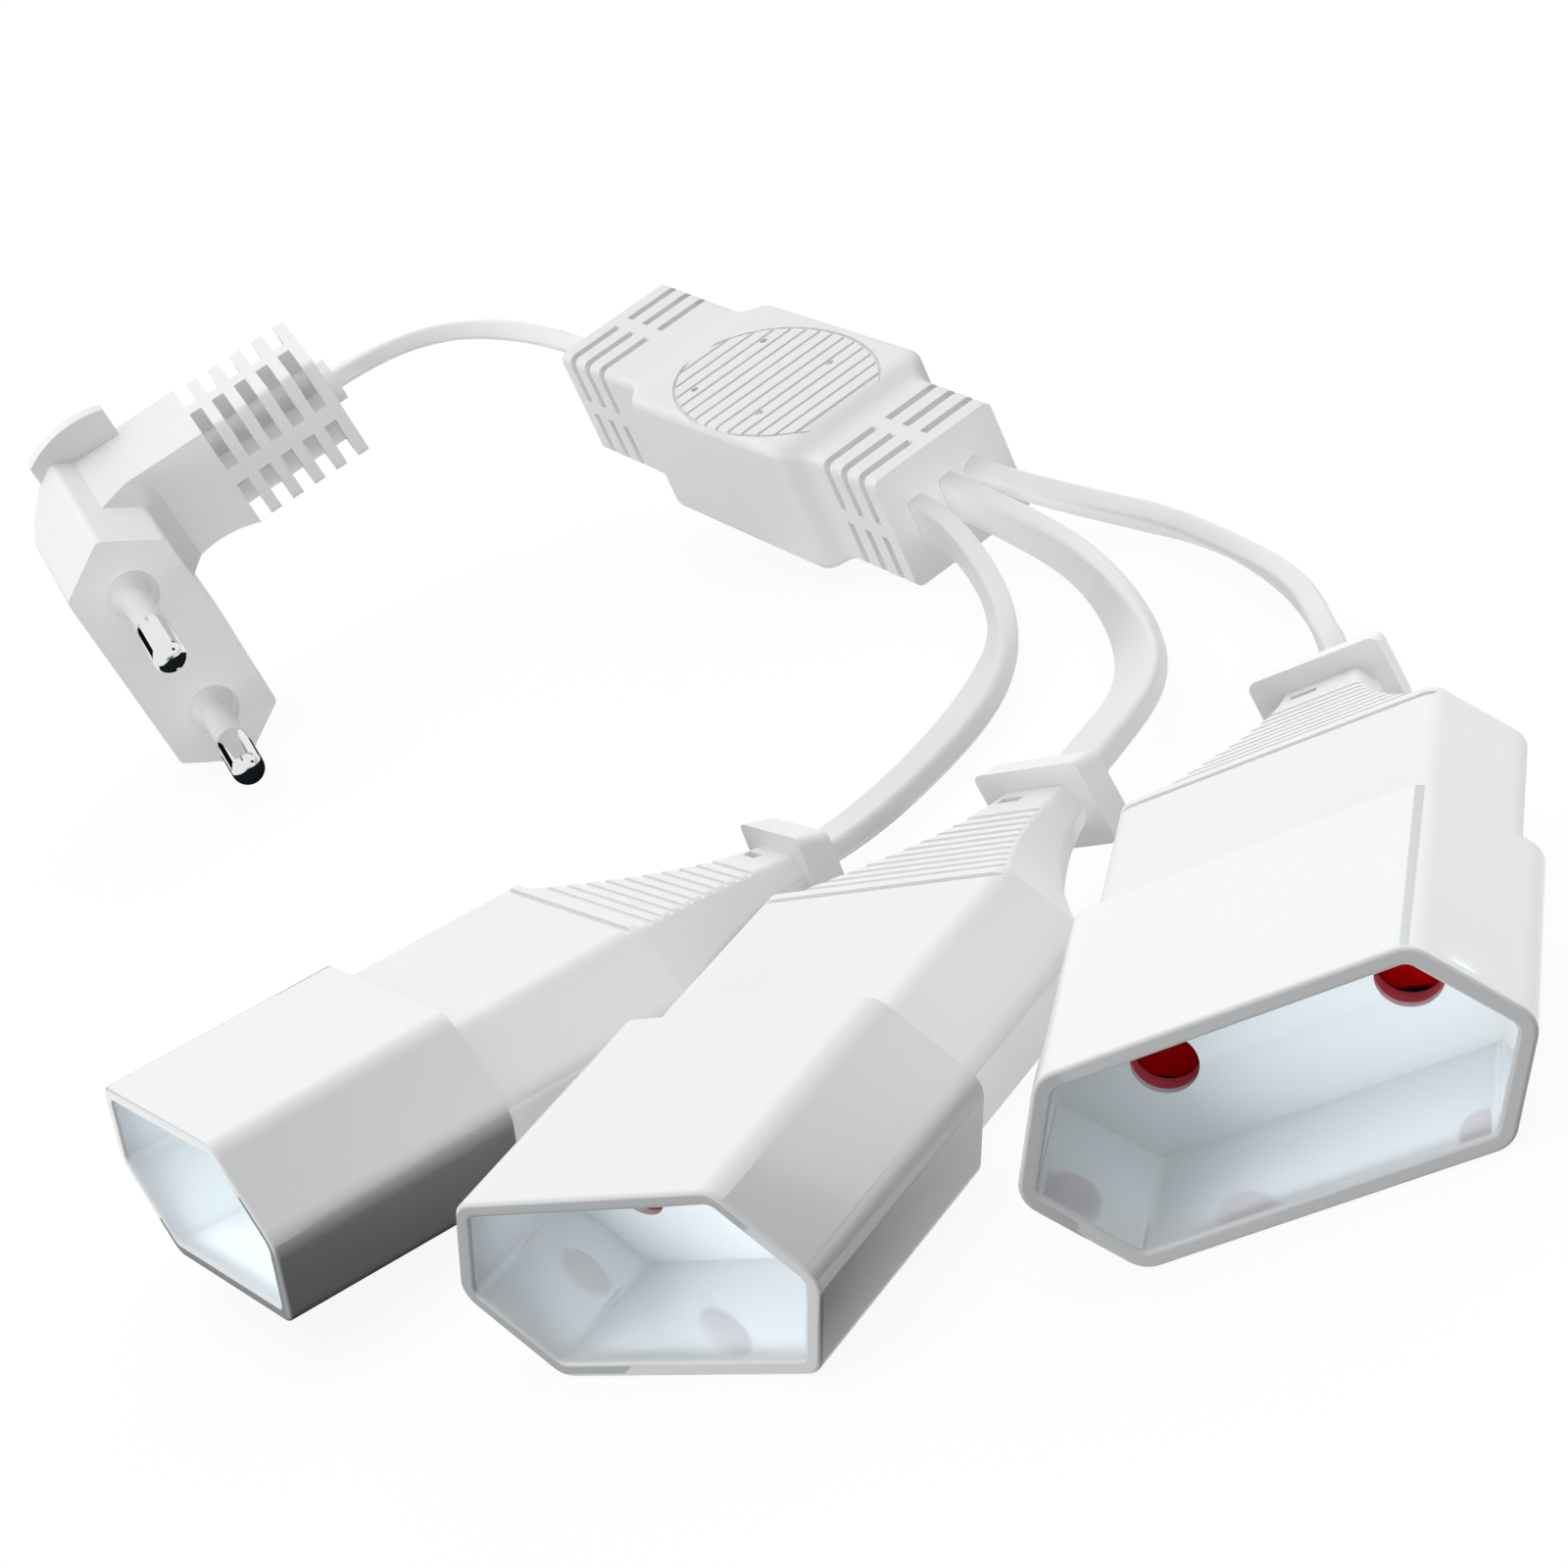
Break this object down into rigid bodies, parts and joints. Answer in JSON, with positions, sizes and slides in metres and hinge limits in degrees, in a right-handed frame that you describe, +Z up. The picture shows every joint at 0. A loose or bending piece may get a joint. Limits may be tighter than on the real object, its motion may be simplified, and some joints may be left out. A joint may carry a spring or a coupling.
{
  "type": "flat socket adapter lead",
  "caption": "Flat two-pin plug with an angled cord, a splitter block and flat shuttered sockets fanned out on short flat cords, lying on a surface.",
  "frame": {"origin": "centre of the box round the plug, block and sockets, on the surface the lead lies on", "axes": "+Z up from the surface, the middle socket's mouth faces -Y, +X along the longest side, towards the right-hand socket"},
  "size_m": [0.2592, 0.1654, 0.0433],
  "materials": {
    "plug_white": "fine matt",
    "block_white": "fine matt",
    "rear_matt": "fine matt",
    "shell_gloss": "gloss",
    "sleeve_white": "gloss",
    "cord_white": "satin",
    "shutter_red": "satin",
    "guard_red": "satin",
    "pin_nickel": "bright nickel plate",
    "contact_brass": "plain",
    "spring_steel": "drawn wire"
  },
  "bodies": {
    "lead": {"plug_body": "plug_white", "plug_pin_upper": "pin_nickel", "plug_pin_lower": "pin_nickel", "pin_sleeve_upper": "sleeve_white", "pin_sleeve_lower": "sleeve_white", "supply_cord": "cord_white", "splitter_block": "block_white", "splice_bar_near": "contact_brass", "splice_bar_far": "contact_brass", "left_cord": "cord_white", "left_socket_front": "shell_gloss", "left_socket_rear": "rear_matt", "left_guard_plate": "guard_red", "left_shutter_spring": "spring_steel", "left_contact_a": "contact_brass", "left_contact_b": "contact_brass", "middle_cord": "cord_white", "middle_socket_front": "shell_gloss", "middle_socket_rear": "rear_matt", "middle_guard_plate": "guard_red", "middle_shutter_spring": "spring_steel", "middle_contact_a": "contact_brass", "middle_contact_b": "contact_brass", "right_cord": "cord_white", "right_socket_front": "shell_gloss", "right_socket_rear": "rear_matt", "right_guard_plate": "guard_red", "right_shutter_spring": "spring_steel", "right_contact_a": "contact_brass", "right_contact_b": "contact_brass"},
    "left_shutter_body": {"left_shutter": "shutter_red"},
    "middle_shutter_body": {"middle_shutter": "shutter_red"},
    "right_shutter_body": {"right_shutter": "shutter_red"}
  },
  "joints": [
    {"name": "left_shutter_turn", "type": "hinge", "parent": "lead", "child": "left_shutter_body", "pos_m": [0.00844, -0.05994, 0.01068], "axis": [-0.3627, -0.9207, 0.1439], "range_deg": [0, 28.7], "stiffness_Nm_per_rad": 0.0004, "springref_deg": -17.19, "deforming": ["left_shutter_spring"]},
    {"name": "middle_shutter_turn", "type": "hinge", "parent": "lead", "child": "middle_shutter_body", "pos_m": [0.06174, -0.06686, 0.0086], "axis": [0, -1, 0], "range_deg": [0, 28.7], "stiffness_Nm_per_rad": 0.0004, "springref_deg": -17.19, "deforming": ["middle_shutter_spring"]},
    {"name": "right_shutter_turn", "type": "hinge", "parent": "lead", "child": "right_shutter_body", "pos_m": [0.10566, -0.05168, 0.0086], "axis": [0.4321, -0.9018, 0], "range_deg": [0, 28.7], "stiffness_Nm_per_rad": 0.0004, "springref_deg": -17.19, "deforming": ["right_shutter_spring"]}
  ]
}
